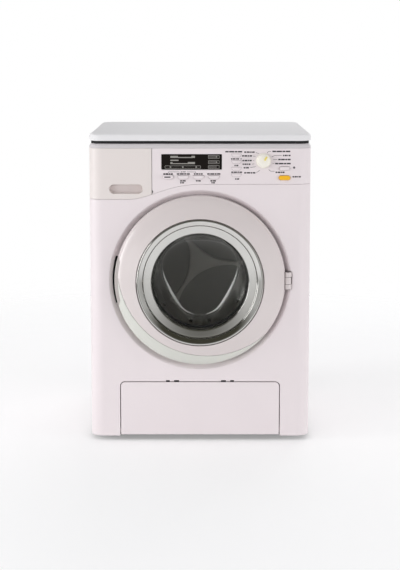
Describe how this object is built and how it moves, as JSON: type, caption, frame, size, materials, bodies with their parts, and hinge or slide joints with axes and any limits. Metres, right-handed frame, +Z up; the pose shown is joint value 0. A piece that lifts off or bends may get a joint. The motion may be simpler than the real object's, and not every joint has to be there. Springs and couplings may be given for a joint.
{
  "type": "toy washing machine",
  "caption": "Toy front-loading washing machine with a round opening door, a turning drum, a sliding soap drawer, a dial, push buttons and a hinged plinth flap.",
  "frame": {"origin": "on the floor under the middle of the machine's whole box, closed door included", "axes": "+Z up, front door towards -Y, door hinge on the +X side"},
  "size_m": [0.185, 0.185, 0.26],
  "materials": {
    "body_white": "semi-gloss moulded plastic, warm white",
    "lid_white": "semi-gloss moulded plastic, cool white",
    "drawer_white": "semi-gloss moulded plastic, warmer white",
    "crescent_white": "semi-gloss moulded plastic, greenish white",
    "knob_cream": "semi-gloss moulded plastic, cream",
    "start_amber": "gloss amber plastic",
    "display_black": "gloss black window",
    "black_rubber": "matt black rubber",
    "grey_rubber": "matt grey rubber",
    "ring_chrome": "bright plated plastic",
    "bowl_smoke": "clear smoked plastic",
    "drum_grey": "satin grey plastic",
    "inner_grey": "matt light grey plastic",
    "plain_steel": "plain steel",
    "contact_brass": "plain brass",
    "board_green": "green board lacquer",
    "cell_grey": "dark grey sleeve",
    "lead_red": "red lead sleeve",
    "lead_black": "black lead sleeve"
  },
  "bodies": {
    "casing": {"front_shell": "body_white", "rear_shell": "body_white", "base_tray": "inner_grey", "worktop": "lid_white", "worktop_spacer": "black_rubber", "foot_front_left": "black_rubber", "foot_front_right": "black_rubber", "foot_rear_left": "black_rubber", "foot_rear_right": "black_rubber", "control_fascia": "body_white", "display_window": "display_black", "circuit_board": "board_green", "drawer_housing": "inner_grey", "fill_hose": "grey_rubber", "tub": "inner_grey", "tub_cover": "inner_grey", "shaft_bush": "contact_brass", "door_gasket": "grey_rubber", "latch_socket": "inner_grey", "hinge_bracket": "body_white", "hinge_pin": "plain_steel", "drive_belt": "black_rubber", "motor_body": "plain_steel", "motor_cradle": "inner_grey", "battery_box": "inner_grey", "battery_cover": "body_white", "battery_screw": "plain_steel", "battery_cell_1": "cell_grey", "battery_cell_2": "cell_grey", "battery_cell_3": "cell_grey", "battery_contact_plate": "contact_brass", "battery_contact_springs": "plain_steel", "battery_lead": "lead_red", "motor_lead": "lead_black", "speaker": "cell_grey", "drain_pipe": "grey_rubber", "drain_nozzle": "inner_grey"},
    "door": {"door_ring": "body_white", "door_crescent": "crescent_white", "door_chrome_ring": "ring_chrome", "door_bowl": "bowl_smoke", "door_frame": "body_white"},
    "drum": {"drum_shell": "drum_grey", "drum_shaft": "plain_steel", "drum_pulley": "inner_grey", "drum_paddle_1": "drum_grey", "drum_paddle_2": "drum_grey", "drum_paddle_3": "drum_grey"},
    "motor_rotor": {"motor_pulley": "inner_grey"},
    "drawer": {"drawer_front": "drawer_white", "drawer_tray": "inner_grey"},
    "knob": {"programme_knob": "knob_cream"},
    "option_1": {"option_button_1": "body_white"},
    "option_2": {"option_button_2": "body_white"},
    "option_3": {"option_button_3": "body_white"},
    "option_4": {"option_button_4": "body_white"},
    "quick": {"quick_button": "knob_cream"},
    "start": {"start_button": "start_amber"},
    "flap": {"plinth_flap": "body_white"}
  },
  "joints": [
    {"name": "door_hinge", "type": "hinge", "parent": "casing", "child": "door", "pos_m": [0.0736, -0.08, 0.1374], "axis": [0, 0, 1], "range_deg": [0, 135]},
    {"name": "drum_spin", "type": "hinge", "parent": "casing", "child": "drum", "pos_m": [0, 0, 0.1374], "axis": [0, 1, 0], "continuous": true},
    {"name": "motor_spin", "type": "hinge", "parent": "casing", "child": "motor_rotor", "pos_m": [-0.044, 0.044, 0.05], "axis": [0, 1, 0], "continuous": true},
    {"name": "drawer_slide", "type": "slide", "parent": "casing", "child": "drawer", "axis": [0, -1, 0], "range_m": [0, 0.045]},
    {"name": "knob_turn", "type": "hinge", "parent": "casing", "child": "knob", "pos_m": [0.0526, -0.08, 0.2379], "axis": [0, 1, 0], "continuous": true},
    {"name": "option_press_1", "type": "slide", "parent": "casing", "child": "option_1", "axis": [0, 1, 0], "range_m": [0, 0.001], "stiffness_N_per_m": 300},
    {"name": "option_press_2", "type": "slide", "parent": "casing", "child": "option_2", "axis": [0, 1, 0], "range_m": [0, 0.001], "stiffness_N_per_m": 300},
    {"name": "option_press_3", "type": "slide", "parent": "casing", "child": "option_3", "axis": [0, 1, 0], "range_m": [0, 0.001], "stiffness_N_per_m": 300},
    {"name": "option_press_4", "type": "slide", "parent": "casing", "child": "option_4", "axis": [0, 1, 0], "range_m": [0, 0.001], "stiffness_N_per_m": 300},
    {"name": "quick_press", "type": "slide", "parent": "casing", "child": "quick", "axis": [0, 1, 0], "range_m": [0, 0.001], "stiffness_N_per_m": 300},
    {"name": "start_press", "type": "slide", "parent": "casing", "child": "start", "axis": [0, 1, 0], "range_m": [0, 0.001], "stiffness_N_per_m": 300},
    {"name": "flap_hinge", "type": "hinge", "parent": "casing", "child": "flap", "pos_m": [0, -0.0759, 0.0092], "axis": [1, 0, 0], "range_deg": [0, 90]}
  ],
  "couplings": [
    {"joint": "motor_spin", "follows": "drum_spin", "ratio": 5.9167}
  ]
}
